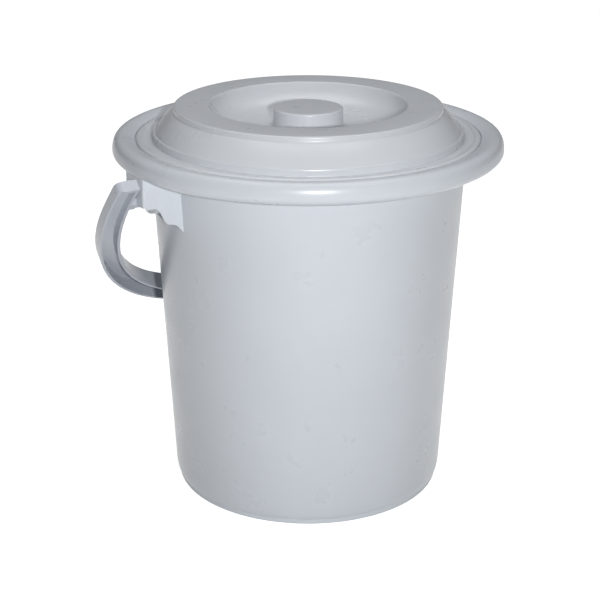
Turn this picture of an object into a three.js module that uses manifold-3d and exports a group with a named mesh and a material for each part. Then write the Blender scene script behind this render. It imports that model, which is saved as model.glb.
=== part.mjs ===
// Toilet bucket: a tapered bucket with a wide rolled flange, a loose lid with a moulded knob,
// and one bail handle that hangs at the back and leans on the wall.
// Millimetres, +Z up. The bucket stands on z = 0, its two ears lie on the X axis,
// and the handle hangs towards +Y.
import * as THREE from 'three';
import Module from 'manifold-3d';
import { mergeVertices } from 'three/addons/utils/BufferGeometryUtils.js';

const wasm = await Module();
wasm.setup();

// Resolution
const turnSteps = 48;
const pinSteps = 28;

// Clearances
const seatGap = 0.3;
const pinClearance = 0.5;
const collarClearance = 0.6;

// Bucket body
const wall = 2.6;
const bodyLowRadius = 129.8;
const bodyTopRadius = 146.5;
const footInset = 3.3;
const footHeight = 4.4;
const footDraft = 0.9;
const footWidth = 3.4;
const footEdge = 0.8;
const baseThickness = 3.0;
const baseRoundHeight = 12.5;
const floorFillet = 9;

// Flange
const ledgeHeight = 335.5;
const ledgeThickness = 3.0;
const ledgeWidth = 12.4;
const rollWidth = 21.1;
const flangeWallRise = 0.6;
const lipTopPull = 12.0;
const lipCurl = 11;
const lipWideDrop = 7.5;
const lipLowDrop = 16.3;
const lipWall = 3.0;
const flangeFillet = 4;
const mouthRound = 2.0;

// Ears
const pivotDrop = 35.5;
const pinRadius = 5.5;
const earSetback = 6;
const earPlate = 2.8;
const earHalfWidth = 10;
const earBelowPivot = 6;
const earWeb = 2.6;
const earSplay = THREE.MathUtils.degToRad(22.3);
const earArchInset = 8.5;
const earArchRise = 2.2;
const earStepInset = 23;
const earStepDrop = 14.2;
const earFootInset = 32.5;
const earFootDrop = 20;
const sleeveWall = 7.0;
const sleeveLength = 20;

// Lid
const lidWall = 2.5;
const rimGap = 0.6;
const rimThickness = 2.2;
const rimRound = 1.2;
const grooveInset = 9;
const grooveDepth = 0.8;
const beadWidth = 10.4;
const beadRise = 5.0;
const shoulderWidth = 14.2;
const shoulderRise = 17.2;
const plateauStepInset = 3.5;
const plateauStep = 5.8;
const plateauRound = 1.6;
const plateauWidth = 30.8;
const dishDepth = 17.3;
const dishDraft = 1.8;
const dishFillet = 3.5;
const knobRadius = 30;
const knobDraft = 1.4;
const knobBelowPlateau = 2.8;
const knobRound = 2.2;
const skirtClearance = 1.2;
const skirtDepth = 7.5;

// Handle
const armGap = 10;
const bailLength = 214.5;
const bailCentre = 6;
const bailExponent = 2.2;
const bailWidth = 20;
const bailWall = 3.0;
const bailDepthAtPin = 10.5;
const bailDepthAtGrip = 19.5;
const armBeyondPin = 10;
const armCornerRound = 6;
const armEndWall = 3.5;
const collarRadius = 8.5;
const pinInSleeve = 17;

// Heights that follow from the ledge, and radii that follow from the wall
const roundTop = footHeight + baseRoundHeight;
const ledgeUnder = ledgeHeight - ledgeThickness;
const lipWideHeight = ledgeHeight - lipWideDrop;
const lipLowHeight = ledgeHeight - lipLowDrop;
const pivotHeight = ledgeHeight - pivotDrop;
const earBottom = pivotHeight - earBelowPivot;
const wallSlope = (bodyTopRadius - bodyLowRadius) / (ledgeHeight - roundTop);
const footRadius = bodyLowRadius - footInset;
const footTopRadius = footRadius - footDraft;
const flangeStepRadius = bodyTopRadius + ledgeWidth;
const flangeRadius = flangeStepRadius + rollWidth;
const lipLowRadius = flangeRadius - lipCurl;
const earReach = flangeRadius - earSetback;
const grooveRadius = flangeStepRadius - grooveInset;
const creaseRadius = grooveRadius - beadWidth;
const shoulderTopRadius = creaseRadius - shoulderWidth;
const plateauRadius = shoulderTopRadius - plateauStepInset;
const dishRadius = plateauRadius - plateauWidth;
const bailHalfWidth = earReach + armGap + bailWidth / 2;

const paleGrey = new THREE.MeshStandardMaterial({ color: 0xc9cdd2, roughness: 0.42, metalness: 0 });
const lidGrey = new THREE.MeshStandardMaterial({ color: 0xcbced3, roughness: 0.4, metalness: 0 });
const handleGrey = new THREE.MeshStandardMaterial({ color: 0xb4b9c2, roughness: 0.45, metalness: 0 });

// Solids

function toSolid(geometry) {
  const bare = geometry.clone();
  bare.deleteAttribute('normal');
  bare.deleteAttribute('uv');
  const merged = mergeVertices(bare, 1e-4);
  const index = merged.index.array;
  const kept = [];
  for (let i = 0; i < index.length; i += 3) {
    const [a, b, c] = [index[i], index[i + 1], index[i + 2]];
    if (a !== b && b !== c && c !== a) kept.push(a, b, c);
  }
  return new wasm.Manifold(new wasm.Mesh({
    numProp: 3,
    vertProperties: new Float32Array(merged.attributes.position.array),
    triVerts: new Uint32Array(kept),
  }));
}

function toGeometry(solid) {
  const mesh = solid.getMesh();
  const geometry = new THREE.BufferGeometry();
  geometry.setAttribute('position', new THREE.BufferAttribute(new Float32Array(mesh.vertProperties), 3));
  geometry.setIndex(new THREE.BufferAttribute(new Uint32Array(mesh.triVerts), 1));
  geometry.computeVertexNormals();
  return geometry;
}

// Turned shapes have their profile in (radius, height) and their axis on Z.
function turned(profile) {
  return toSolid(new THREE.LatheGeometry(profile, turnSteps).rotateX(Math.PI / 2));
}

// A shape drawn in (x, z) and given a thickness along Y, centred on y = 0.
function plateInXZ(shape, thickness) {
  const geometry = new THREE.ExtrudeGeometry(shape, { depth: thickness, bevelEnabled: false, curveSegments: 6 });
  geometry.translate(0, 0, -thickness / 2);
  geometry.rotateX(Math.PI / 2);
  return toSolid(geometry);
}

function cylinderAlongX(radius, from, to, height) {
  const geometry = new THREE.CylinderGeometry(radius, radius, to - from, pinSteps);
  geometry.rotateZ(Math.PI / 2);
  geometry.translate((from + to) / 2, 0, height);
  return toSolid(geometry);
}

// Outlines

function point(x, y) {
  return new THREE.Vector2(x, y);
}

// A curve from one point to another, pulled towards a third.
function bend(from, pull, to, steps) {
  return new THREE.QuadraticBezierCurve(from, pull, to).getPoints(steps);
}

// The same line moved sideways, to the left of its direction of travel.
function offsetLine(line, distance) {
  return line.map((here, i) => {
    const before = line[Math.max(i - 1, 0)];
    const after = line[Math.min(i + 1, line.length - 1)];
    const along = after.clone().sub(before).normalize();
    return point(here.x - along.y * distance, here.y + along.x * distance);
  });
}

// Bucket

function wallRadius(height) {
  return bodyLowRadius + (height - roundTop) * wallSlope;
}

// Outer face of the rolled flange, from its low inner edge round and up to the step at the lid.
function flangeFace() {
  const low = point(lipLowRadius, lipLowHeight);
  const wide = point(flangeRadius, lipWideHeight);
  const step = point(flangeStepRadius, ledgeHeight + flangeWallRise);
  const under = bend(low, point(flangeRadius + 0.6, lipLowHeight + 3.4), wide, 6);
  const over = bend(wide, point(flangeRadius, ledgeHeight + lipTopPull), step, 10);
  return [...under, ...over.slice(1)];
}

function bucketTurned() {
  const floorTop = footHeight + baseThickness;
  const face = flangeFace();
  const back = offsetLine(face, lipWall).reverse();
  const innerFloorRadius = wallRadius(floorTop) - wall;
  const mouth = wallRadius(ledgeHeight) - wall;
  const flangeRoot = wallRadius(ledgeUnder);
  return turned([
    point(0, footHeight),
    point(footRadius - footWidth, footHeight),
    point(footRadius - footWidth, 0),
    point(footRadius - footEdge, 0),
    point(footRadius, footEdge),
    ...bend(point(footTopRadius, footHeight), point(wallRadius(footHeight), footHeight),
      point(bodyLowRadius, roundTop), 6),
    ...bend(point(wallRadius(ledgeUnder - flangeFillet), ledgeUnder - flangeFillet),
      point(flangeRoot, ledgeUnder), point(flangeRoot + flangeFillet, ledgeUnder), 3),
    ...back.filter((p) => p.x < back[0].x || p.x > flangeRoot + flangeFillet),
    ...face,
    point(flangeStepRadius - 0.5, ledgeHeight),
    ...bend(point(mouth + mouthRound, ledgeHeight), point(mouth, ledgeHeight),
      point(mouth - mouthRound * wallSlope, ledgeHeight - mouthRound), 3),
    ...bend(point(wallRadius(floorTop + floorFillet) - wall, floorTop + floorFillet),
      point(innerFloorRadius, floorTop), point(innerFloorRadius - floorFillet, floorTop), 4),
    point(0, floorTop),
  ]);
}

// The room under the flange that an ear may fill: out from the middle of the wall and
// down from the middle of the flange, so that an ear ends inside the plastic.
function roomForEar() {
  const low = earBottom - 3 * earFootDrop;
  const middle = offsetLine(flangeFace(), lipWall / 2);
  const ledgeMiddle = ledgeHeight - ledgeThickness / 2;
  return turned([
    point(wallRadius(low) - wall / 2, low),
    point(middle[0].x, low),
    ...middle,
    point(wallRadius(ledgeMiddle) - wall / 2, ledgeMiddle),
    point(wallRadius(low) - wall / 2, low),
  ]);
}

// One web of an ear in its own plane: x runs outwards and is 0 at the ear's outer end.
function earWebShape() {
  const top = ledgeHeight + lipTopPull;
  const shape = new THREE.Shape();
  shape.moveTo(0, top);
  shape.lineTo(0, earBottom + 1);
  shape.quadraticCurveTo(-0.2, earBottom, -1.5, earBottom);
  shape.lineTo(-earArchInset + 3, earBottom);
  shape.quadraticCurveTo(-earArchInset + 1, earBottom + earArchRise, -earArchInset, earBottom + earArchRise);
  shape.quadraticCurveTo(-earStepInset + 7, earBottom + earArchRise - 1, -earStepInset + 4,
    earBottom - earStepDrop + 6);
  shape.quadraticCurveTo(-earStepInset + 2.5, earBottom - earStepDrop, -earStepInset,
    earBottom - earStepDrop);
  shape.lineTo(-earFootInset + 5, earBottom - earStepDrop);
  shape.quadraticCurveTo(-earFootInset + 1.5, earBottom - earStepDrop - 1, -earFootInset,
    earBottom - earFootDrop);
  shape.lineTo(-earFootInset - 2 * wall, earBottom - earFootDrop - 2);
  shape.lineTo(-earFootInset - 2 * wall, top);
  shape.closePath();
  return shape;
}

function earWebSolid(side) {
  const inPlane = plateInXZ(earWebShape(), earWeb);
  const turnDegrees = -side * THREE.MathUtils.radToDeg(earSplay);
  return inPlane.rotate([0, 0, turnDegrees]).translate([earReach, side * (earHalfWidth - earWeb / 2), 0]);
}

// One ear on +X: outer plate, two webs that spread towards the wall, and the sleeve for the pin.
function earSolid() {
  const top = ledgeHeight + lipTopPull;
  const plate = new THREE.BoxGeometry(earPlate, 2 * earHalfWidth, top - earBottom);
  plate.translate(earReach - earPlate / 2, 0, (top + earBottom) / 2);
  const sleeveStart = earReach - earPlate - sleeveLength;
  const boreRadius = pinRadius + pinClearance;
  const sleeve = cylinderAlongX(boreRadius + sleeveWall, sleeveStart, earReach - 1, pivotHeight);
  const bore = cylinderAlongX(boreRadius, sleeveStart - 1, earReach + 1, pivotHeight);
  return toSolid(plate)
    .add(earWebSolid(1))
    .add(earWebSolid(-1))
    .add(sleeve)
    .subtract(bore)
    .intersect(roomForEar());
}

function bucketSolid() {
  const ear = earSolid();
  return bucketTurned().add(ear).add(ear.rotate([0, 0, 180]));
}

// Lid

function lidSolid() {
  const rimRadius = flangeStepRadius - rimGap;
  const rimUnder = ledgeHeight + seatGap;
  const rimTop = rimUnder + rimThickness;
  const crease = rimTop + beadRise;
  const stepLow = crease + shoulderRise;
  const plateau = stepLow + plateauStep;
  const dishFloor = plateau - dishDepth;
  const knobTop = plateau - knobBelowPlateau;
  const stepTopRadius = plateauRadius + plateauRound;
  const dishLowRadius = dishRadius - dishDraft;
  const knobLowRadius = knobRadius + knobDraft;
  const skirtRadius = wallRadius(ledgeHeight) - wall - skirtClearance;

  const outer = [
    point(rimRadius - 0.4, rimUnder),
    point(rimRadius, rimUnder + 0.5),
    ...bend(point(rimRadius, rimTop - rimRound), point(rimRadius, rimTop), point(rimRadius - rimRound, rimTop), 3),
    point(grooveRadius + grooveDepth, rimTop),
    point(grooveRadius, rimTop - grooveDepth),
    ...bend(point(grooveRadius - 0.4, rimTop), point(grooveRadius - 1, crease - 0.5),
      point(creaseRadius, crease), 5),
    ...bend(point(creaseRadius - 0.5, crease + 0.5), point(creaseRadius - 2.5, stepLow - 3),
      point(shoulderTopRadius, stepLow), 8),
    ...bend(point(shoulderTopRadius - 0.9, stepLow + 0.4), point(stepTopRadius + 0.2, stepLow + 0.8),
      point(stepTopRadius, stepLow + 2.2), 2),
    ...bend(point(stepTopRadius - 0.1, plateau - plateauRound), point(stepTopRadius - 0.2, plateau),
      point(plateauRadius - plateauRound, plateau), 4),
    ...bend(point(dishRadius + plateauRound, plateau), point(dishRadius, plateau),
      point(dishRadius - 0.2, plateau - plateauRound), 3),
    ...bend(point(dishLowRadius, dishFloor + dishFillet), point(dishLowRadius - 0.4, dishFloor),
      point(dishLowRadius - dishFillet, dishFloor), 3),
    ...bend(point(knobLowRadius + 1, dishFloor), point(knobLowRadius, dishFloor),
      point(knobLowRadius - 0.1, dishFloor + 1), 2),
    ...bend(point(knobRadius, knobTop - knobRound), point(knobRadius, knobTop),
      point(knobRadius - knobRound, knobTop), 4),
    point(0, knobTop),
  ];
  const under = [
    point(0, knobTop - lidWall),
    point(knobRadius - lidWall - 0.6, knobTop - lidWall),
    point(knobRadius - lidWall, knobTop - lidWall - 1),
    point(knobLowRadius - lidWall, dishFloor - lidWall),
    point(dishLowRadius - dishFillet + 1, dishFloor - lidWall),
    point(dishLowRadius + lidWall, dishFloor + 1),
    point(dishRadius + lidWall, plateau - lidWall),
    point(stepTopRadius - lidWall - 0.5, plateau - lidWall),
    point(stepTopRadius - lidWall, stepLow - lidWall + 1.5),
    ...bend(point(shoulderTopRadius - lidWall + 1.5, stepLow - lidWall),
      point(creaseRadius - 2.5 - lidWall, stepLow - 3 - lidWall),
      point(creaseRadius - lidWall, crease - 1), 5),
    point(skirtRadius - lidWall, crease - lidWall - 1),
    point(skirtRadius - lidWall, rimUnder - skirtDepth),
    point(skirtRadius - 0.6, rimUnder - skirtDepth),
    point(skirtRadius, rimUnder - skirtDepth + 1.2),
    point(skirtRadius, rimUnder + 2.6),
    point(grooveRadius - lidWall - 1.2, rimUnder + 1.6),
    point(grooveRadius - 1, rimUnder),
  ];
  return turned([...under, ...outer]);
}

// Handle, drawn flat: x across the bucket, y from the pins (y = 0) towards the grip,
// z through its depth, with the open side of the channel at -z.

const bailReach = bailLength + bailCentre;

function bailCentreLine() {
  const steps = 20;
  const line = [point(bailHalfWidth, -armBeyondPin)];
  for (let i = 0; i <= steps; i += 1) {
    const turn = (i / steps) * (Math.PI / 2);
    const across = Math.pow(Math.max(Math.cos(turn), 0), 2 / bailExponent);
    const down = Math.pow(Math.sin(turn), 2 / bailExponent);
    line.push(point(bailHalfWidth * across, bailReach * down - bailCentre));
  }
  return line;
}

// One side of the bail, from the end of the right arm to the middle of the grip.
function bailSide(outwards, endTrim) {
  const moved = offsetLine(bailCentreLine(), -outwards);
  moved[moved.length - 1].x = 0;
  moved[0].y += endTrim;
  return moved;
}

function mirrored(line) {
  return line.map((p) => point(-p.x, p.y)).reverse();
}

function bailOutline(halfWidth, endTrim, cornerRound) {
  const outside = bailSide(halfWidth, endTrim);
  const inside = bailSide(-halfWidth, endTrim);
  const corner = outside[0].clone();
  const end = cornerRound > 0
    ? bend(point(corner.x - cornerRound, corner.y), corner, point(corner.x, corner.y + cornerRound), 4)
    : [corner];
  const rightOutside = [...end, ...outside.slice(1)].filter((p, i) => i < end.length || p.y > corner.y + cornerRound);
  const rightInside = inside.slice().reverse();
  return new THREE.Shape([
    ...rightOutside,
    ...mirrored(rightOutside).slice(1),
    ...mirrored(rightInside),
    ...rightInside.slice(1),
  ]);
}

function bailDepth(along) {
  const share = THREE.MathUtils.clamp(along / bailLength, 0, 1);
  return THREE.MathUtils.lerp(bailDepthAtPin, bailDepthAtGrip, share);
}

// A block across the whole bail whose depth follows a low and a high line, both given along y.
function depthBlock(lowAt, highAt) {
  const near = -armBeyondPin - 5;
  const far = bailLength + bailWidth;
  const stations = [near, 0, bailLength, far];
  const shape = new THREE.Shape([
    ...stations.map((along) => point(along, lowAt(along))),
    ...stations.slice().reverse().map((along) => point(along, highAt(along))),
  ]);
  const width = 2 * (bailHalfWidth + bailWidth);
  const geometry = new THREE.ExtrudeGeometry(shape, { depth: width, bevelEnabled: false });
  geometry.translate(0, 0, -width / 2);
  const axes = new THREE.Matrix4().makeBasis(
    new THREE.Vector3(0, 1, 0), new THREE.Vector3(0, 0, 1), new THREE.Vector3(1, 0, 0));
  geometry.applyMatrix4(axes);
  return toSolid(geometry);
}

function flatBand(shape) {
  const depth = 3 * bailDepthAtGrip;
  const geometry = new THREE.ExtrudeGeometry(shape, { depth, bevelEnabled: false });
  geometry.translate(0, 0, -depth / 2);
  return toSolid(geometry);
}

function handleSolid() {
  const body = flatBand(bailOutline(bailWidth / 2, 0, armCornerRound))
    .intersect(depthBlock((y) => -bailDepth(y) / 2, (y) => bailDepth(y) / 2));
  const channel = flatBand(bailOutline(bailWidth / 2 - bailWall, armEndWall, 0))
    .intersect(depthBlock(() => -2 * bailDepthAtGrip, (y) => bailDepth(y) / 2 - bailWall));
  const armInside = bailHalfWidth - bailWidth / 2;
  const pinEnd = earReach - pinInSleeve;
  const collar = cylinderAlongX(collarRadius, earReach + collarClearance, armInside + bailWall / 2, 0);
  const pin = cylinderAlongX(pinRadius, pinEnd, armInside + bailWall / 2, 0);
  const hub = collar.add(pin)
    .intersect(depthBlock((y) => -bailDepth(y) / 2, (y) => bailDepth(y) / 2));
  return body.subtract(channel).add(hub).add(hub.rotate([0, 0, 180]));
}

// The handle leans on the wall at the back: the lean is worked out so that the inner front
// edge of the grip stands one seat gap off the wall.
function handleLean() {
  const grip = bailLength - bailWidth / 2;
  let lean = Math.PI / 4;
  for (let i = 0; i < 40; i += 1) {
    const height = pivotHeight - grip * Math.sin(lean) - (bailDepthAtGrip / 2) * Math.cos(lean);
    const out = wallRadius(height) + seatGap + (bailDepthAtGrip / 2) * Math.sin(lean);
    lean = Math.acos(out / grip);
  }
  return lean;
}

// Scene

function named(name, solid, material) {
  const mesh = new THREE.Mesh(toGeometry(solid), material);
  mesh.name = name;
  return mesh;
}

const toiletBucket = new THREE.Group();
toiletBucket.add(named('bucket', bucketSolid(), paleGrey));
toiletBucket.add(named('lid', lidSolid(), lidGrey));

const handlePivot = new THREE.Group();
handlePivot.position.z = pivotHeight;
handlePivot.rotation.x = -handleLean();
handlePivot.add(named('handle', handleSolid(), handleGrey));
toiletBucket.add(handlePivot);

export default toiletBucket;
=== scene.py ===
"""Toilet bucket with a loose lid and a bail handle, dressed over its CAD frame.

Metres, +Z up. The bucket stands on z = 0, its two ears lie on the X axis, and the handle
hangs towards +Y and leans on the wall. The three pieces are turned and swept in mesh code
from the sizes in the property groups below. Numbers written with MM are millimetres, and
the small ones among them round or draft an edge.
"""

import math

import bmesh
import bpy
import numpy as np
from mathutils import Matrix, Vector


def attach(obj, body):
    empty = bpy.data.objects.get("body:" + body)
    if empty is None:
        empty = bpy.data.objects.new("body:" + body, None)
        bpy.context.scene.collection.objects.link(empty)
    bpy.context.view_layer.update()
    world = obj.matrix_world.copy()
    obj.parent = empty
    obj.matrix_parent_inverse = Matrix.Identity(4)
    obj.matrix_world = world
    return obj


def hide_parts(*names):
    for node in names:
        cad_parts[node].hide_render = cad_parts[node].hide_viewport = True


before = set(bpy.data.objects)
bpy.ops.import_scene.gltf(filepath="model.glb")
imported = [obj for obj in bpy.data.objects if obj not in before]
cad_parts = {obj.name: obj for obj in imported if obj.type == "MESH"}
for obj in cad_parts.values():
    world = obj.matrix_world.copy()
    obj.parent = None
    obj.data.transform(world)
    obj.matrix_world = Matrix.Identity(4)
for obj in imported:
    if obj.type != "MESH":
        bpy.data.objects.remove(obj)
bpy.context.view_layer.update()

bl_info = {
    "name": "Toilet Bucket",
    "version": (1, 0, 0),
    "blender": (4, 5, 0),
    "location": "View3D > Sidebar > Toilet Bucket",
    "description": "Builds a lidded toilet bucket with a bail handle, its plastics and its studio",
    "category": "Add Mesh",
}

MM = 0.001

# Steps round a turned body
SHELL_STEPS = 240
EAR_ROOM_STEPS = 192
BOSS_STEPS = 64
PIN_STEPS = 56
BORE_STEPS = 48

# Steps along the handle
BAIL_STEPS = 72
ARM_END_STEPS = 4
ARM_CORNER_STEPS = 8

# Scales of the plastic's noises, in turns to a metre
CLOUD_SCALE = 9.0
RUB_SCALE = 26.0
SPECK_SCALE = 420.0
GRAIN_SCALE = 1500.0
UPRIGHT_HAIRLINES = (30.0, 30.0, 900.0)
SLANTING_HAIRLINES = (900.0, 220.0, 26.0)

# Noise at which a hairline starts and at which it is fully there
HAIRLINE_RANGE = (0.70, 0.80)

# The studio, in metres and degrees
AIM_HEIGHT = 0.2
KEY_ASIDE = 5.5
KEY_ELEVATION = 19
KEY_DISTANCE = 1.45
KEY_SIZE = 0.05
TOP_PLACE = (0.1, 0.2, 1.9)
TOP_SIZE = 1.6
FLOOR_HALF = 8.0
FLOOR_DROP = 0.0002
FLOOR_LIFT = 0.93
SENSOR_WIDTH = 36


def millimetres(name, description, default):
    """A length property; its default is written in millimetres."""
    return bpy.props.FloatProperty(
        name=name, description=description, default=default * MM, unit="LENGTH", precision=4,
    )


def colour(name, description, default):
    """A linear colour property."""
    return bpy.props.FloatVectorProperty(
        name=name, description=description, default=default, size=3, min=0.0, max=1.0,
        subtype="COLOR",
    )


def factor(name, description, default):
    """A plain number property."""
    return bpy.props.FloatProperty(name=name, description=description, default=default)


def angle(name, description, degrees):
    """An angle property; its default is written in degrees."""
    return bpy.props.FloatProperty(
        name=name, description=description, default=math.radians(degrees), subtype="ANGLE",
    )


class BucketSizes(bpy.types.PropertyGroup):
    """Sizes of the bucket's body, flange and ears."""

    wall: millimetres("Wall", "Thickness of the wall", 2.6)
    foot_radius: millimetres("Foot radius", "Outer radius of the foot ring", 126.5)
    foot_height: millimetres("Foot height", "Height of the foot ring", 4.4)
    foot_draft: millimetres("Foot draft", "How far the foot ring draws in at its top", 0.9)
    foot_width: millimetres("Foot width", "Width of the foot ring's standing face", 3.4)
    base_thickness: millimetres("Base thickness", "Thickness of the floor plate", 3.0)
    base_round: millimetres("Base round", "Height of the round corner over the foot", 12.5)
    low_radius: millimetres("Low radius", "Outer radius of the wall above that corner", 129.8)
    top_radius: millimetres("Top radius", "Outer radius of the wall at the ledge", 146.5)
    floor_fillet: millimetres("Floor fillet", "Rounding between floor and wall inside", 9)
    ledge_height: millimetres("Ledge height", "Height of the ledge that the lid lies on", 335.5)
    ledge_thickness: millimetres("Ledge thickness", "Thickness of that ledge", 3.0)
    flange_radius: millimetres("Flange radius", "Outer radius of the rolled flange", 180)
    step_radius: millimetres("Step radius", "Radius of the step around the lid's rim", 159.4)
    step_rise: millimetres("Step rise", "Height of the step above the ledge", 1.9)
    lip_pull: millimetres("Lip pull", "How full the top of the flange is", 11.6)
    lip_wide_height: millimetres("Lip wide height", "Height where the flange is widest", 328)
    lip_low_height: millimetres("Lip low height", "Height of the flange's inner low edge", 319.2)
    lip_low_radius: millimetres("Lip low radius", "Radius of that edge", 169)
    lip_wall: millimetres("Lip wall", "Thickness of the flange", 3.0)
    pivot_height: millimetres("Pivot height", "Height of the handle's hinge axis", 300)
    ear_reach: millimetres("Ear reach", "Distance of an ear's outer face from the axis", 178)
    ear_plate: millimetres("Ear plate", "Thickness of an ear's outer plate", 2.8)
    ear_half_width: millimetres("Ear half width", "Half the width of that plate", 17)
    ear_bottom: millimetres("Ear bottom", "Height of the plate's lower edge", 297.5)
    ear_web: millimetres("Ear web", "Thickness of an ear's two webs", 2.6)
    ear_splay: angle("Ear splay", "How far each web opens towards the wall", 7)
    boss_radius: millimetres("Boss radius", "Outer radius of the boss for the pin", 13.5)
    boss_reach: millimetres("Boss reach", "Distance of the boss's end from the axis", 162)
    bore_radius: millimetres("Bore radius", "Radius of the hole for the pin", 6)


class LidSizes(bpy.types.PropertyGroup):
    """Sizes of the lid."""

    wall: millimetres("Wall", "Thickness of the lid", 2.5)
    rim_gap: millimetres("Rim gap", "Gap between the lid's rim and the flange's step", 1.1)
    seat_gap: millimetres("Seat gap", "Gap between the lid and the ledge under it", 0.3)
    rim_thickness: millimetres("Rim thickness", "Thickness of the rim at its edge", 3.1)
    rim_round: millimetres("Rim round", "Rounding of the rim's edge", 3.4)
    groove_radius: millimetres("Groove radius", "Outer radius of the rim's groove", 152.4)
    groove_depth: millimetres("Groove depth", "Depth of that groove", 2.2)
    bead_rise: millimetres("Bead rise", "Height of the upright band above the groove", 6.3)
    bead_width: millimetres("Bead width", "How far the band stands out from the crease", 2.2)
    crease_radius: millimetres("Crease radius", "Radius of the crease above the band", 140.6)
    shoulder_rise: millimetres("Shoulder rise", "Height of the hollow shoulder", 17.2)
    shoulder_radius: millimetres("Shoulder radius", "Radius at the shoulder's top", 125.3)
    plateau_step: millimetres("Plateau step", "Height of the small step up to the top", 5.8)
    plateau_radius: millimetres("Plateau radius", "Outer radius of the flat top", 121.8)
    plateau_round: millimetres("Plateau round", "Rounding of the flat top's edges", 1.6)
    dish_radius: millimetres("Dish radius", "Radius of the sunk dish", 91)
    dish_depth: millimetres("Dish depth", "Depth of that dish", 20.5)
    dish_draft: millimetres("Dish draft", "How far the dish's side draws in", 8)
    bowl_width: millimetres("Bowl width", "Width of the dish's curved side", 34)
    knob_radius: millimetres("Knob radius", "Radius of the round knob", 32)
    knob_draft: millimetres("Knob draft", "How far the knob widens at its foot", 0.4)
    knob_drop: millimetres("Knob drop", "Height of the flat top above the knob", 3.3)
    knob_round: millimetres("Knob round", "Rounding of the knob's edge", 2.2)
    skirt_clearance: millimetres("Skirt clearance", "Gap between skirt and wall", 1.2)
    skirt_depth: millimetres("Skirt depth", "How far the skirt reaches into the bucket", 7.5)


class HandleSizes(bpy.types.PropertyGroup):
    """Sizes of the bail handle and its pins."""

    half_width: millimetres("Half width", "From the axis to an arm's middle line", 194)
    length: millimetres("Length", "Pin axis to the grip's middle line", 214.5)
    centre: millimetres("Centre", "How far the widest place lies beyond the pins", 13)
    exponent: factor("Exponent", "Squareness of the bail's outline; 2 is an ellipse", 2.17)
    width: millimetres("Width", "Width of the band", 20)
    wall: millimetres("Wall", "Thickness of the band's walls", 3)
    depth_at_pin: millimetres("Depth at pins", "Depth of the band at the pins", 10.5)
    depth_at_grip: millimetres("Depth at grip", "Depth of the band at the grip", 19.5)
    beyond_pin: millimetres("Beyond pin", "How far an arm runs on past its pin", 31)
    corner_round: millimetres("Corner round", "Rounding of an arm's outer corner", 6)
    end_wall: millimetres("End wall", "Thickness of the wall that closes an arm", 3.5)
    edge_round: millimetres("Edge round", "Rounding of the band's long edges", 0.9)
    pin_radius: millimetres("Pin radius", "Radius of a pin", 5.5)
    pin_in_ear: millimetres("Pin in ear", "Length of a pin inside its ear", 21.5)
    collar_radius: millimetres("Collar radius", "Radius of the collar beside the ear", 6.5)
    collar_clearance: millimetres("Collar clearance", "Gap between collar and ear", 0.6)


class PlasticColours(bpy.types.PropertyGroup):
    """Colours and surface of the moulded plastics."""

    bucket: colour("Bucket", "Colour of the bucket", (0.62, 0.655, 0.70))
    lid: colour("Lid", "Colour of the lid", (0.63, 0.655, 0.69))
    handle: colour("Handle", "Colour of the handle", (0.50, 0.53, 0.585))
    roughness: factor("Roughness", "Roughness of the satin surface", 0.29)
    grain: millimetres("Grain", "Height of the surface's fine grain", 0.03)


class StudioSettings(bpy.types.PropertyGroup):
    """The camera and the lamps."""

    turn: angle("Turn", "How far the camera stands round towards the left ear", 31.6)
    distance: millimetres("Distance", "Level distance of the camera from the axis", 1350)
    height: millimetres("Height", "Height of the camera above the floor", 682.4)
    pitch: angle("Pitch", "How far the camera looks down", 20.66)
    aside: angle("Aside", "How far the camera looks to the left of the axis", 0.32)
    lens: factor("Lens", "Focal length on a sensor of 36", 90.07)
    key_power: factor("Key power", "Power of the small front lamp in watts", 12.5)
    top_power: factor("Top power", "Power of the large lamp overhead in watts", 17)
    ambient: factor("Ambient", "Strength of the light from all round", 0.05)


# Outlines, as lists of (across, up) points


def bend(start, pull, end, steps):
    """A curve from one point to another, pulled towards a third."""
    line = []
    for i in range(steps + 1):
        t = i / steps
        a, b, c = (1 - t) ** 2, 2 * t * (1 - t), t * t
        across = a * start[0] + b * pull[0] + c * end[0]
        up = a * start[1] + b * pull[1] + c * end[1]
        line.append((across, up))
    return line


def offset(line, distance):
    """The same line moved sideways, to the left of its direction of travel."""
    moved = []
    for i, (x, y) in enumerate(line):
        before, after = line[max(i - 1, 0)], line[min(i + 1, len(line) - 1)]
        dx, dy = after[0] - before[0], after[1] - before[1]
        size = math.hypot(dx, dy)
        moved.append((x - dy / size * distance, y + dx / size * distance))
    return moved


# Meshes


def new_piece(name, bm, sharp=32):
    """An object from a bmesh, smooth but for edges sharper than this many degrees."""
    bmesh.ops.remove_doubles(bm, verts=bm.verts, dist=1e-7)
    bmesh.ops.recalc_face_normals(bm, faces=bm.faces)
    mesh = bpy.data.meshes.new(name)
    bm.to_mesh(mesh)
    bm.free()
    for polygon in mesh.polygons:
        polygon.use_smooth = True
    mesh.set_sharp_from_angle(angle=math.radians(sharp))
    piece = bpy.data.objects.new(name, mesh)
    bpy.context.scene.collection.objects.link(piece)
    return piece


def turn(bm, profile, steps, axis="Z"):
    """A closed profile of (radius, height) points turned round an axis into a closed body."""
    rings = []
    for radius, height in profile:
        ring = []
        for i in range(steps if radius > 1e-7 else 1):
            a = 2 * math.pi * i / steps
            around = (radius * math.cos(a), radius * math.sin(a))
            place = (*around, height) if axis == "Z" else (height, *around)
            ring.append(bm.verts.new(place))
        rings.append(ring)
    for low, high in zip(rings, rings[1:] + rings[:1]):
        if len(low) == 1 and len(high) == 1:
            continue
        for i in range(steps):
            j = (i + 1) % steps
            corners = (
                low[i % len(low)], low[j % len(low)], high[j % len(high)], high[i % len(high)]
            )
            bm.faces.new(list(dict.fromkeys(corners)))


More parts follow.
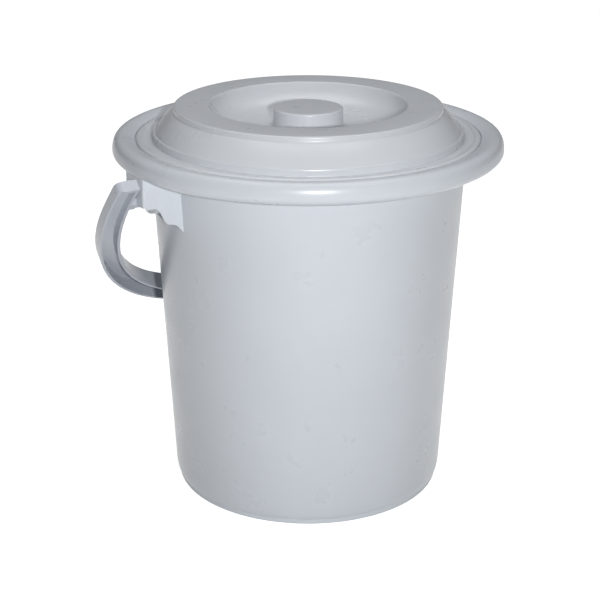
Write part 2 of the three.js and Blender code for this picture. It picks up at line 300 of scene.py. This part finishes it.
def sweep(bm, rings):
    """A body through rings of points, closed at both ends."""
    rows = [[bm.verts.new(p) for p in ring] for ring in rings]
    count = len(rows[0])
    for low, high in zip(rows, rows[1:]):
        for i in range(count):
            j = (i + 1) % count
            bm.faces.new((low[i], low[j], high[j], high[i]))
    bm.faces.new(rows[0][::-1])
    bm.faces.new(rows[-1])


def absorb(bm, other):
    """Adds the faces of another bmesh to this one, and frees the other."""
    spare = bpy.data.meshes.new("spare")
    other.to_mesh(spare)
    other.free()
    bm.from_mesh(spare)
    bpy.data.meshes.remove(spare)


def cut(piece, other, operation):
    """Joins, cuts or keeps the common part of two bodies, and drops the second one."""
    boolean = piece.modifiers.new("cut", "BOOLEAN")
    boolean.operation = operation
    boolean.solver = "EXACT"
    boolean.object = other
    graph = bpy.context.evaluated_depsgraph_get()
    mesh = bpy.data.meshes.new_from_object(piece.evaluated_get(graph))
    piece.modifiers.clear()
    piece.data = mesh
    bpy.data.objects.remove(other)
    return piece


# Bucket


def wall_slope(s):
    """Growth of the wall's radius for each unit of height."""
    return (s.top_radius - s.low_radius) / (s.ledge_height - s.foot_height - s.base_round)


def wall_radius(s, height):
    """Outer radius of the wall at a height."""
    return s.low_radius + (height - s.foot_height - s.base_round) * wall_slope(s)


def flange_face(s):
    """Outer face of the flange, from its low inner edge round and up to the step at the lid."""
    under_pull = s.lip_low_height + 3.2 * MM
    low = (s.lip_low_radius, s.lip_low_height)
    wide = (s.flange_radius, s.lip_wide_height)
    step = (s.step_radius, s.ledge_height + s.step_rise)
    under = bend(low, (s.flange_radius, under_pull), wide, 16)
    over = bend(wide, (s.flange_radius, s.ledge_height + s.lip_pull), step, 28)
    return under + over[1:]


def bucket_profile(s):
    """The whole closed profile of the bucket, as (radius, height)."""
    flange_fillet, foot_edge, mouth_round, step_draft = 4 * MM, 0.8 * MM, 2 * MM, 0.5 * MM
    floor = s.foot_height + s.base_thickness
    floor_round = floor + s.floor_fillet
    ledge_under = s.ledge_height - s.ledge_thickness
    fillet_low = ledge_under - flange_fillet
    root = wall_radius(s, ledge_under)
    face = flange_face(s)
    back = offset(face, s.lip_wall)[::-1]
    lip_edge = (face[0][0] - 1.2 * MM, face[0][1] - 0.2 * MM)
    mouth = wall_radius(s, s.ledge_height) - s.wall
    inner = wall_radius(s, floor) - s.wall
    foot_inner = s.foot_radius - s.foot_width
    return [
        (0, s.foot_height),
        (foot_inner, s.foot_height),
        (foot_inner, 0),
        *bend((s.foot_radius - foot_edge, 0), (s.foot_radius, 0), (s.foot_radius, foot_edge), 4),
        *bend((s.foot_radius - s.foot_draft, s.foot_height),
              (wall_radius(s, s.foot_height), s.foot_height),
              (s.low_radius, s.foot_height + s.base_round), 14),
        *bend((wall_radius(s, fillet_low), fillet_low), (root, ledge_under),
              (root + flange_fillet, ledge_under), 6),
        *[p for p in back[:-1] if p[0] < back[0][0] or p[0] > root + flange_fillet],
        *bend(back[-1], lip_edge, face[0], 5),
        *face[1:],
        (s.step_radius - step_draft, s.ledge_height),
        *bend((mouth + mouth_round, s.ledge_height), (mouth, s.ledge_height),
              (mouth - mouth_round * wall_slope(s), s.ledge_height - mouth_round), 5),
        *bend((wall_radius(s, floor_round) - s.wall, floor_round),
              (inner, floor), (inner - s.floor_fillet, floor), 10),
        (0, floor),
    ]


def ear_room(s):
    """The room for an ear: from the middle of the wall out, and up to the flange's middle."""
    low = s.ear_bottom - 60 * MM
    ledge = s.ledge_height - s.ledge_thickness / 2
    middle = [p for p in offset(flange_face(s), s.lip_wall / 2) if p[1] >= s.lip_wide_height]
    bm = bmesh.new()
    turn(bm, [
        (wall_radius(s, low) - s.wall / 2, low),
        (middle[0][0], low),
        *middle,
        (wall_radius(s, ledge) - s.wall / 2, ledge),
    ], EAR_ROOM_STEPS)
    return new_piece("ear_room", bm)


def web_bottom(inset, s):
    """Height of an ear's lower edge, by the distance along its web from the outer plate."""
    drops = {
        0: 0, 0.5: 0, 4: 1.5, 11.5: 1.5, 13.8: 3, 16: 5.9, 18.3: 11.1, 20.2: 15, 22.1: 16.8,
        27: 17.8, 29.5: 18.6, 31.3: 20, 33: 21.8, 35: 24.2, 38: 27,
    }
    stations = [place * MM for place in drops]
    return s.ear_bottom - float(np.interp(inset, stations, list(drops.values()))) * MM


def ear_path(s):
    """The ear in plan, as (outer point, inner point, inset), from one wall side to the other."""
    web_steps, corner_steps, plate_steps = 46, 6, 8
    web_length = 46 * MM
    half, reach = s.ear_half_width, s.ear_reach
    along, aside = math.cos(s.ear_splay), math.sin(s.ear_splay)
    curve = (s.ear_plate - s.ear_web * aside) / along
    side = []
    for i in range(web_steps + 1):
        inset = web_length + (curve - web_length) * i / web_steps
        x, y = reach - inset * along, half + inset * aside
        side.append(((x, y), (x - s.ear_web * aside, y - s.ear_web * along), inset))
    web_end, inner_corner, _ = side[-1]
    rounded = bend(web_end, (reach, half), (reach, half - curve), corner_steps)[1:]
    corner = [(outer, inner_corner, 0.0) for outer in rounded]
    plate = []
    for i in range(1, plate_steps):
        y = (half - curve) * (1 - 2 * i / plate_steps)
        plate.append(((reach, y), (reach - s.ear_plate, y), 0.0))
    half_ear = side + corner
    other = [((a, -b), (u, -v), inset) for (a, b), (u, v), inset in reversed(half_ear)]
    return half_ear + plate + other


def ear_strip(s):
    """The ear's plate and two webs as one bent strip with softly rounded lower edges."""
    top = s.ledge_height + s.lip_pull
    soft = 0.5 * MM
    edge = ((0.06, 0.7), (0.2, 1.0), (0.8, 1.0), (0.94, 0.7))
    rings = []
    for (x, y), (u, v), inset in ear_path(s):
        low = web_bottom(inset, s)
        across = [(x + (u - x) * t, y + (v - y) * t, low + soft * (1 - drop)) for t, drop in edge]
        rings.append([
            (x, y, top),
            (x, y, low + soft),
            *across,
            (u, v, low + soft),
            (u, v, top),
        ])
    bm = bmesh.new()
    sweep(bm, rings)
    return new_piece("ear_strip", bm)


def ear_boss(s):
    """The round boss on the wall that the end of the handle's pin turns in."""
    soft = 2 * MM
    root = s.boss_reach - 30 * MM
    bm = bmesh.new()
    turn(bm, [
        (0, s.boss_reach),
        *bend((s.boss_radius - soft, s.boss_reach), (s.boss_radius, s.boss_reach),
              (s.boss_radius, s.boss_reach - soft), 5),
        (s.boss_radius, root),
        (0, root),
    ], BOSS_STEPS, axis="X")
    for vert in bm.verts:
        vert.co.z += s.pivot_height
    return new_piece("ear_boss", bm)


def ear_bore(s):
    """The hole for the pin, through the plate and into the boss."""
    start, end = s.boss_reach - 7 * MM, s.ear_reach + 1 * MM
    bm = bmesh.new()
    turn(bm, [(0, start), (s.bore_radius, start), (s.bore_radius, end), (0, end)],
         BORE_STEPS, axis="X")
    for vert in bm.verts:
        vert.co.z += s.pivot_height
    return new_piece("ear_bore", bm)


def build_bucket(s):
    """The bucket's body with its two ears."""
    ear = cut(ear_strip(s), ear_boss(s), "UNION")
    ear = cut(ear, ear_bore(s), "DIFFERENCE")
    ear = cut(ear, ear_room(s), "INTERSECT")
    bm = bmesh.new()
    turn(bm, bucket_profile(s), SHELL_STEPS)
    for half_turn in (0, math.pi):
        other = bmesh.new()
        other.from_mesh(ear.data)
        other.transform(Matrix.Rotation(half_turn, 4, "Z"))
        absorb(bm, other)
    bpy.data.objects.remove(ear)
    return new_piece("bucket_shell", bm)


# Lid


def lid_profile(s, b):
    """The whole closed profile of the lid, as (radius, height)."""
    rim_radius = b.step_radius - s.rim_gap
    rim_under = b.ledge_height + s.seat_gap
    rim_top = rim_under + s.rim_thickness
    groove = rim_top - s.groove_depth
    crease = groove + s.bead_rise
    bead = s.crease_radius + s.bead_width
    step_low = crease + s.shoulder_rise
    plateau = step_low + s.plateau_step
    step_top = s.plateau_radius + s.plateau_round
    cove_radius, cove = s.crease_radius - 7 * MM, step_low - 6.5 * MM
    dish = plateau - s.dish_depth
    bowl_radius = s.dish_radius - s.bowl_width
    knob_top = plateau - s.knob_drop
    knob_low = s.knob_radius + s.knob_draft
    rim = [
        (rim_radius - 0.4 * MM, rim_under),
        *bend((rim_radius, rim_under + 0.5 * MM), (rim_radius, rim_top),
              (rim_radius - s.rim_round, rim_top), 10),
        *bend((s.groove_radius + 0.9 * MM, rim_top - 0.3 * MM),
              (s.groove_radius + 0.2 * MM, groove), (s.groove_radius - 0.8 * MM, groove), 6),
        *bend((bead + 0.6 * MM, groove), (bead, groove), (bead, groove + 0.6 * MM), 4),
        *bend((bead + 0.3 * MM, crease - 2.4 * MM), (bead + 0.3 * MM, crease + 0.9 * MM),
              (s.crease_radius + 0.8 * MM, crease + 0.6 * MM), 10),
        (s.crease_radius + 0.3 * MM, crease - 0.7 * MM),
    ]
    dome = [
        *bend((s.crease_radius, crease), (cove_radius, cove), (s.shoulder_radius, step_low), 24),
        *bend((s.shoulder_radius - 0.9 * MM, step_low + 0.4 * MM),
              (step_top + 0.2 * MM, step_low + 0.8 * MM), (step_top, step_low + 2.2 * MM), 6),
        *bend((step_top - 0.1 * MM, plateau - s.plateau_round), (step_top - 0.2 * MM, plateau),
              (s.plateau_radius - s.plateau_round, plateau), 7),
    ]
    middle = [
        *bend((s.dish_radius + s.plateau_round, plateau), (s.dish_radius, plateau),
              (s.dish_radius - 0.6 * MM, plateau - 0.8 * s.plateau_round), 6),
        *bend((s.dish_radius - 1.4 * MM, plateau - 2 * s.plateau_round),
              (s.dish_radius - s.dish_draft, dish), (bowl_radius, dish), 24),
        *bend((knob_low + 1 * MM, dish), (knob_low, dish), (knob_low, dish + 1 * MM), 4),
        *bend((s.knob_radius, knob_top - s.knob_round), (s.knob_radius, knob_top),
              (s.knob_radius - s.knob_round, knob_top), 8),
        (0, knob_top),
    ]
    return lid_underside(s, b, crease, step_low, plateau) + rim + dome + middle


def lid_underside(s, b, crease, step_low, plateau):
    """The lid's profile from the middle of its underside out to the skirt and the rim."""
    rim_under = b.ledge_height + s.seat_gap
    step_top = s.plateau_radius + s.plateau_round
    cove_radius, cove = s.crease_radius - 7 * MM, step_low - 6.5 * MM
    dish_under = plateau - s.dish_depth - s.wall
    knob_under = plateau - s.knob_drop - s.wall
    knob_inner = s.knob_radius - s.wall
    skirt = wall_radius(b, b.ledge_height) - b.wall - s.skirt_clearance
    skirt_low = rim_under - s.skirt_depth
    return [
        (0, knob_under),
        (knob_inner - 0.6 * MM, knob_under),
        (knob_inner, knob_under - 1 * MM),
        (knob_inner + s.knob_draft, dish_under),
        *bend((s.dish_radius - s.bowl_width, dish_under),
              (s.dish_radius - s.dish_draft + 0.7 * s.wall, dish_under),
              (s.dish_radius + s.wall, plateau - s.wall), 14),
        (step_top - s.wall - 0.5 * MM, plateau - s.wall),
        (step_top - s.wall, step_low - s.wall + 1.5 * MM),
        *bend((s.shoulder_radius - s.wall + 1.5 * MM, step_low - s.wall),
              (cove_radius - 0.8 * s.wall, cove - 0.8 * s.wall),
              (s.crease_radius - s.wall, crease - 1 * MM), 10),
        (skirt - s.wall, crease - s.wall - 1 * MM),
        (skirt - s.wall, skirt_low),
        (skirt - 0.6 * MM, skirt_low),
        (skirt, skirt_low + 1.2 * MM),
        (skirt, rim_under),
    ]


def build_lid(s, b):
    """The lid, turned from one profile."""
    bm = bmesh.new()
    turn(bm, lid_profile(s, b), SHELL_STEPS)
    return new_piece("lid_shell", bm)


# Handle, drawn flat: across in x, from the pins towards the grip in y, depth in z


def bail_line(s):
    """The right half of the band's middle line, from the end of the arm to the grip."""
    reach = s.length + s.centre
    straight = s.beyond_pin - s.centre
    line = [
        (s.half_width, -s.beyond_pin + straight * i / ARM_END_STEPS) for i in range(ARM_END_STEPS)
    ]
    for i in range(BAIL_STEPS + 1):
        a = i / BAIL_STEPS * math.pi / 2
        across = max(math.cos(a), 0.0) ** (2 / s.exponent)
        line.append((s.half_width * across, reach * math.sin(a) ** (2 / s.exponent) - s.centre))
    return [line[0]] + [p for last, p in zip(line, line[1:]) if p[1] > last[1] or p[0] < last[0]]


def band_ring(s, low, high, half_depth, open_channel):
    """One ring of the band's section as (sideways, depth), with its channel open at the bottom."""
    edge, fillet = s.edge_round, 1.2 * MM
    inner_low, inner_high = -s.width / 2 + s.wall, s.width / 2 - s.wall
    top, bottom, ceiling = half_depth, -half_depth, half_depth - s.wall
    channel = [
        *bend((inner_high + edge / 2, bottom), (inner_high, bottom),
              (inner_high, bottom + edge / 2), 3),
        *bend((inner_high, ceiling - fillet), (inner_high, ceiling),
              (inner_high - fillet, ceiling), 3),
        *bend((inner_low + fillet, ceiling), (inner_low, ceiling),
              (inner_low, ceiling - fillet), 3),
        *bend((inner_low, bottom + edge / 2), (inner_low, bottom),
              (inner_low - edge / 2, bottom), 3),
    ]
    if not open_channel:
        channel = [(u, bottom) for u, _ in channel]
    return [
        *bend((high, bottom + edge), (high, bottom), (high - edge, bottom), 4),
        *channel,
        *bend((low + edge, bottom), (low, bottom), (low, bottom + edge), 4),
        *bend((low, top - edge), (low, top), (low + edge, top), 4),
        *bend((high - edge, top), (high, top), (high, top - edge), 4),
    ]


def bail_depth(s, along):
    """Depth of the band at a distance from the pins."""
    share = min(max(along / s.length, 0.0), 1.0)
    return s.depth_at_pin + (s.depth_at_grip - s.depth_at_pin) * share


def bail_rings(s):
    """Rings of the whole band from the end of one arm to the end of the other."""
    line = bail_line(s)
    half = s.width / 2
    stations = []
    for k, (x, y) in enumerate(line):
        before, after = line[max(k - 1, 0)], line[min(k + 1, len(line) - 1)]
        dx, dy = after[0] - before[0], after[1] - before[1]
        if k == len(line) - 1:
            dx, dy = -1.0, 0.0
        size = math.hypot(dx, dy)
        stations.append((x, y, dy / size, -dx / size))
    end = stations[0]
    corner = []
    for i in range(ARM_CORNER_STEPS + 1):
        a = math.pi / 2 * i / ARM_CORNER_STEPS
        corner.append((s.corner_round * (1 - math.sin(a)), s.corner_round * (1 - math.cos(a))))
    arm = [(end[0], end[1] + rise, end[2], end[3], trim) for trim, rise in corner]
    arm += [(*p, 0.0) for p in stations if p[1] > end[1] + s.corner_round]
    rings = []
    closed_to = end[1] + s.end_wall
    open_before = False
    for x, y, nx, ny, trim in arm:
        depth = bail_depth(s, y) / 2
        is_open = y >= closed_to
        for open_channel in [False, True] if is_open and not open_before else [is_open]:
            ring = band_ring(s, -half, half - trim, depth, open_channel)
            rings.append([(x + nx * u, y + ny * u, z) for u, z in ring])
        open_before = is_open
    other = [[(-x, y, z) for x, y, z in ring] for ring in reversed(rings[:-1])]
    return rings + other


def pin_body(bm, s, b, side):
    """One pin with its collar, cut flat above and below so that it stays inside the band."""
    arm = s.half_width - s.width / 2 + s.wall / 2
    pin_end = b.ear_reach - s.pin_in_ear
    collar = b.ear_reach + s.collar_clearance
    soft = 0.6 * MM
    own = bmesh.new()
    turn(own, [
        (0, pin_end),
        (s.pin_radius - soft, pin_end),
        (s.pin_radius, pin_end + soft),
        (s.pin_radius, collar),
        (s.collar_radius - soft, collar),
        (s.collar_radius, collar + soft),
        (s.collar_radius, arm),
        (0, arm),
    ], PIN_STEPS, axis="X")
    flat = bail_depth(s, 0) / 2 - 0.05 * MM
    for vert in own.verts:
        vert.co.z = min(max(vert.co.z, -flat), flat)
        vert.co.x *= side
    bmesh.ops.recalc_face_normals(own, faces=own.faces)
    absorb(bm, own)


def handle_lean(s, b, gap):
    """How far the handle hangs down from level when its grip leans on the wall.

    Each round takes the wall's radius where the last one put the grip, until it settles.
    """
    rounds = 40
    grip = s.length - s.width / 2
    lean = math.pi / 4
    for _ in range(rounds):
        height = b.pivot_height - grip * math.sin(lean) - s.depth_at_grip / 2 * math.cos(lean)
        out = wall_radius(b, height) + gap + s.depth_at_grip / 2 * math.sin(lean)
        lean = math.acos(out / grip)
    return lean


def build_handle(s, b, gap):
    """The channel-shaped bail with its two pins, leaning on the wall at the back."""
    bm = bmesh.new()
    sweep(bm, bail_rings(s))
    for side in (1, -1):
        pin_body(bm, s, b, side)
    lean = Matrix.Rotation(-handle_lean(s, b, gap), 4, "X")
    bm.transform(Matrix.Translation((0, 0, b.pivot_height)) @ lean)
    return new_piece("bail_handle", bm)


# Plastics


class Nodes:
    """Short calls for building a material's node tree."""

    def __init__(self, name):
        self.material = bpy.data.materials.new(name)
        self.material.use_nodes = True
        self.tree = self.material.node_tree
        self.tree.nodes.clear()

    def add(self, kind, **inputs):
        """A node with its inputs set or linked by name."""
        node = self.tree.nodes.new(kind)
        for key, value in inputs.items():
            self.feed(node.inputs[key.replace("_", " ")], value)
        return node

    def feed(self, socket, value):
        """Links an output to a socket, or sets the socket's value."""
        if isinstance(value, bpy.types.NodeSocket):
            self.tree.links.new(value, socket)
        else:
            socket.default_value = value

    def noise(self, place, scale, detail, roughness):
        """Smooth noise from 0 to 1."""
        node = self.add(
            "ShaderNodeTexNoise", Vector=place, Scale=scale, Detail=detail, Roughness=roughness
        )
        return node.outputs["Fac"]

    def stretched(self, place, scale, turn_z):
        """Coordinates scaled by axis and turned about Z."""
        rotation = (0.0, 0.0, turn_z)
        node = self.add("ShaderNodeMapping", Vector=place, Scale=scale, Rotation=rotation)
        return node.outputs["Vector"]

    def span(self, value, low, high, to_low=0.0, to_high=1.0):
        """A range of a value spread over another range, and held at its ends."""
        node = self.tree.nodes.new("ShaderNodeMapRange")
        node.clamp = True
        for index, number in enumerate((value, low, high, to_low, to_high)):
            self.feed(node.inputs[index], number)
        return node.outputs[0]

    def math(self, operation, a, b):
        """Two values joined by one operation."""
        node = self.tree.nodes.new("ShaderNodeMath")
        node.operation = operation
        self.feed(node.inputs[0], a)
        self.feed(node.inputs[1], b)
        return node.outputs[0]

    def blend(self, share, a, b):
        """A mix of two colours."""
        node = self.tree.nodes.new("ShaderNodeMix")
        node.data_type = "RGBA"
        self.feed(node.inputs["Factor"], share)
        self.feed(node.inputs["A"], a)
        self.feed(node.inputs["B"], b)
        return node.outputs["Result"]


def scaled(rgb, gain):
    """A colour made lighter or darker, with its alpha."""
    return (*[min(c * gain, 1.0) for c in rgb], 1.0)


def moulded_plastic(name, rgb, roughness, grain):
    """Satin plastic: a faint cloudy tone, fine grain, hairline scuffs and dull rubbed patches."""
    n = Nodes(name)
    place = n.add("ShaderNodeTexCoord").outputs["Object"]
    cloud = n.noise(place, CLOUD_SCALE, 4.0, 0.55)
    speck = n.noise(place, SPECK_SCALE, 2.0, 0.6)
    fine = n.noise(place, GRAIN_SCALE, 2.0, 0.6)
    upright = n.noise(n.stretched(place, UPRIGHT_HAIRLINES, 0.3), 1.0, 4.0, 0.65)
    slanting = n.noise(n.stretched(place, SLANTING_HAIRLINES, 1.1), 1.0, 4.0, 0.65)
    rub = n.noise(place, RUB_SCALE, 5.0, 0.6)
    hairlines = [n.span(hair, *HAIRLINE_RANGE) for hair in (upright, slanting)]
    scuff = n.math("MULTIPLY", n.math("MAXIMUM", *hairlines), n.span(rub, 0.5, 0.68))
    tone = n.blend(n.span(cloud, 0.3, 0.7), scaled(rgb, 0.975), scaled(rgb, 1.02))
    tone = n.blend(n.span(speck, 0.62, 0.8, 0.0, 0.25), tone, scaled(rgb, 0.93))
    tone = n.blend(n.math("MULTIPLY", scuff, 0.35), tone, scaled(rgb, 1.09))
    gloss = n.span(rub, 0.3, 0.7, roughness - 0.03, roughness + 0.05)
    gloss = n.math("ADD", gloss, n.math("MULTIPLY", scuff, 0.12))
    height = n.math("ADD", fine, n.math("MULTIPLY", speck, 0.6))
    height = n.math("SUBTRACT", height, n.math("MULTIPLY", scuff, 0.15))
    bump = n.add("ShaderNodeBump", Strength=0.35, Distance=grain, Height=height)
    shader = n.add(
        "ShaderNodeBsdfPrincipled", Base_Color=tone, Roughness=gloss, IOR=1.49,
        Normal=bump.outputs["Normal"], Subsurface_Weight=0.04,
        Subsurface_Radius=(0.004, 0.004, 0.004),
    )
    n.add("ShaderNodeOutputMaterial", Surface=shader.outputs["BSDF"])
    return n.material


def dress(piece, material, body, node):
    """Gives the piece its plastic and ties it to the CAD frame."""
    piece.data.materials.clear()
    piece.data.materials.append(material)
    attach(piece, body)
    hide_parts(node)


# Operators


class TOILETBUCKET_OT_add_bucket(bpy.types.Operator):
    """Builds the bucket's body with its flange, foot ring and ears"""

    bl_idname = "toiletbucket.add_bucket"
    bl_label = "Add Bucket"

    def execute(self, context):
        scene = context.scene
        colours = scene.toilet_bucket_colours
        slot = "bucket_plastic"
        plastic = moulded_plastic(slot, colours.bucket, colours.roughness, colours.grain)
        dress(build_bucket(scene.toilet_bucket_body), plastic, "bucket", "bucket")
        return {"FINISHED"}


class TOILETBUCKET_OT_add_lid(bpy.types.Operator):
    """Builds the lid with its sunk dish and knob"""

    bl_idname = "toiletbucket.add_lid"
    bl_label = "Add Lid"

    def execute(self, context):
        scene = context.scene
        colours = scene.toilet_bucket_colours
        slot = "lid_plastic"
        plastic = moulded_plastic(slot, colours.lid, colours.roughness, colours.grain)
        lid = build_lid(scene.toilet_bucket_lid, scene.toilet_bucket_body)
        dress(lid, plastic, "bucket", "lid")
        return {"FINISHED"}


class TOILETBUCKET_OT_add_handle(bpy.types.Operator):
    """Builds the bail handle with its pins"""

    bl_idname = "toiletbucket.add_handle"
    bl_label = "Add Handle"

    def execute(self, context):
        scene = context.scene
        colours = scene.toilet_bucket_colours
        slot = "handle_plastic"
        plastic = moulded_plastic(slot, colours.handle, colours.roughness, colours.grain)
        gap = scene.toilet_bucket_lid.seat_gap
        handle = build_handle(scene.toilet_bucket_handle, scene.toilet_bucket_body, gap)
        dress(handle, plastic, "handle", "handle")
        return {"FINISHED"}


def floor_material():
    """White paper that keeps a soft shadow and shows as white to the camera."""
    n = Nodes("floor_paper")
    path = n.add("ShaderNodeLightPath")
    seen = n.math("MAXIMUM", path.outputs["Is Camera Ray"], path.outputs["Is Glossy Ray"])
    seen = n.math("MAXIMUM", seen, path.outputs["Is Transmission Ray"])
    place = n.add("ShaderNodeTexCoord").outputs["Object"]
    fibre = n.noise(place, 60.0, 4.0, 0.6)
    tone = n.blend(fibre, (0.68, 0.68, 0.68, 1.0), (0.72, 0.72, 0.72, 1.0))
    paper = n.add("ShaderNodeBsdfDiffuse", Color=tone)
    lift = n.add("ShaderNodeEmission", Strength=n.math("MULTIPLY", seen, FLOOR_LIFT))
    both = n.tree.nodes.new("ShaderNodeAddShader")
    n.feed(both.inputs[0], paper.outputs["BSDF"])
    n.feed(both.inputs[1], lift.outputs["Emission"])
    n.add("ShaderNodeOutputMaterial", Surface=both.outputs["Shader"])
    return n.material


def build_floor():
    """A wide level floor under the bucket."""
    bm = bmesh.new()
    corners = ((-1, -1), (1, -1), (1, 1), (-1, 1))
    bm.faces.new([bm.verts.new((x * FLOOR_HALF, y * FLOOR_HALF, 0)) for x, y in corners])
    floor = new_piece("studio_floor", bm)
    floor.location.z = -FLOOR_DROP
    floor.data.materials.append(floor_material())


def build_world(ambient):
    """Even light from all round, with a white background for the camera."""
    world = bpy.data.worlds.new("studio_world")
    bpy.context.scene.world = world
    world.use_nodes = True
    tree = world.node_tree
    tree.nodes.clear()
    path = tree.nodes.new("ShaderNodeLightPath")
    output = tree.nodes.new("ShaderNodeOutputWorld")
    mix = tree.nodes.new("ShaderNodeMixShader")
    around = tree.nodes.new("ShaderNodeBackground")
    behind = tree.nodes.new("ShaderNodeBackground")
    around.inputs["Color"].default_value = (0.97, 0.98, 1.0, 1.0)
    around.inputs["Strength"].default_value = ambient
    behind.inputs["Color"].default_value = (1.0, 1.0, 1.0, 1.0)
    behind.inputs["Strength"].default_value = 1.0
    tree.links.new(path.outputs["Is Camera Ray"], mix.inputs["Fac"])
    tree.links.new(around.outputs["Background"], mix.inputs[1])
    tree.links.new(behind.outputs["Background"], mix.inputs[2])
    tree.links.new(mix.outputs["Shader"], output.inputs["Surface"])


def aimed(place, target):
    """A rotation that points an object's -Z from one place at another."""
    return (Vector(target) - Vector(place)).to_track_quat("-Z", "Y").to_euler()


def build_lamp(name, place, target, power, size):
    """One square soft lamp."""
    data = bpy.data.lights.new(name, "AREA")
    data.energy = power
    data.shape = "SQUARE"
    data.size = size
    lamp = bpy.data.objects.new(name, data)
    lamp.location = place
    lamp.rotation_euler = aimed(place, target)
    bpy.context.scene.collection.objects.link(lamp)


def around_object(turn_degrees, elevation_degrees, distance):
    """A place round the object, by its angle from -Y towards -X, its elevation and distance."""
    a, e = math.radians(turn_degrees), math.radians(elevation_degrees)
    return (
        -distance * math.cos(e) * math.sin(a),
        -distance * math.cos(e) * math.cos(a),
        AIM_HEIGHT + distance * math.sin(e),
    )


class TOILETBUCKET_OT_add_studio(bpy.types.Operator):
    """Builds the floor, the lamps, the even light and the camera"""

    bl_idname = "toiletbucket.add_studio"
    bl_label = "Add Studio"

    def execute(self, context):
        scene = context.scene
        s = scene.toilet_bucket_studio
        build_floor()
        build_world(s.ambient)
        aim = (0, 0, AIM_HEIGHT)
        key = around_object(math.degrees(s.turn) - KEY_ASIDE, KEY_ELEVATION, KEY_DISTANCE)
        build_lamp("key_lamp", key, aim, s.key_power, KEY_SIZE)
        build_lamp("top_lamp", TOP_PLACE, aim, s.top_power, TOP_SIZE)
        data = bpy.data.cameras.new("photo_camera")
        data.lens = s.lens
        data.sensor_width = SENSOR_WIDTH
        camera = bpy.data.objects.new("photo_camera", data)
        camera.location = (
            -s.distance * math.sin(s.turn), -s.distance * math.cos(s.turn), s.height
        )
        camera.rotation_euler = (math.pi / 2 - s.pitch, 0, -s.turn + s.aside)
        scene.collection.objects.link(camera)
        scene.camera = camera
        scene.view_settings.view_transform = "Standard"
        return {"FINISHED"}


class TOILETBUCKET_PT_panel(bpy.types.Panel):
    """Lists the pieces and their sizes"""

    bl_label = "Toilet Bucket"
    bl_idname = "TOILETBUCKET_PT_panel"
    bl_space_type = "VIEW_3D"
    bl_region_type = "UI"
    bl_category = "Toilet Bucket"

    def draw(self, context):
        scene = context.scene
        for operator in OPERATORS:
            self.layout.operator(operator.bl_idname)
        for holder in HOLDERS:
            box = self.layout.box()
            group = getattr(scene, holder)
            for name in group.__annotations__:
                box.prop(group, name)


OPERATORS = (
    TOILETBUCKET_OT_add_bucket,
    TOILETBUCKET_OT_add_lid,
    TOILETBUCKET_OT_add_handle,
    TOILETBUCKET_OT_add_studio,
)
HOLDERS = {
    "toilet_bucket_body": BucketSizes,
    "toilet_bucket_lid": LidSizes,
    "toilet_bucket_handle": HandleSizes,
    "toilet_bucket_colours": PlasticColours,
    "toilet_bucket_studio": StudioSettings,
}


def register():
    """Registers the sizes, the operators and the panel."""
    for group in HOLDERS.values():
        bpy.utils.register_class(group)
    for operator in OPERATORS:
        bpy.utils.register_class(operator)
    bpy.utils.register_class(TOILETBUCKET_PT_panel)
    for holder, group in HOLDERS.items():
        setattr(bpy.types.Scene, holder, bpy.props.PointerProperty(type=group))


def unregister():
    """Undoes what register does."""
    for holder in HOLDERS:
        delattr(bpy.types.Scene, holder)
    bpy.utils.unregister_class(TOILETBUCKET_PT_panel)
    for operator in reversed(OPERATORS):
        bpy.utils.unregister_class(operator)
    for group in reversed(list(HOLDERS.values())):
        bpy.utils.unregister_class(group)


def main():
    """Builds everything."""
    register()
    bpy.ops.toiletbucket.add_bucket()
    bpy.ops.toiletbucket.add_lid()
    bpy.ops.toiletbucket.add_handle()
    bpy.ops.toiletbucket.add_studio()
    bpy.context.view_layer.update()


if __name__ == "__main__":
    main()
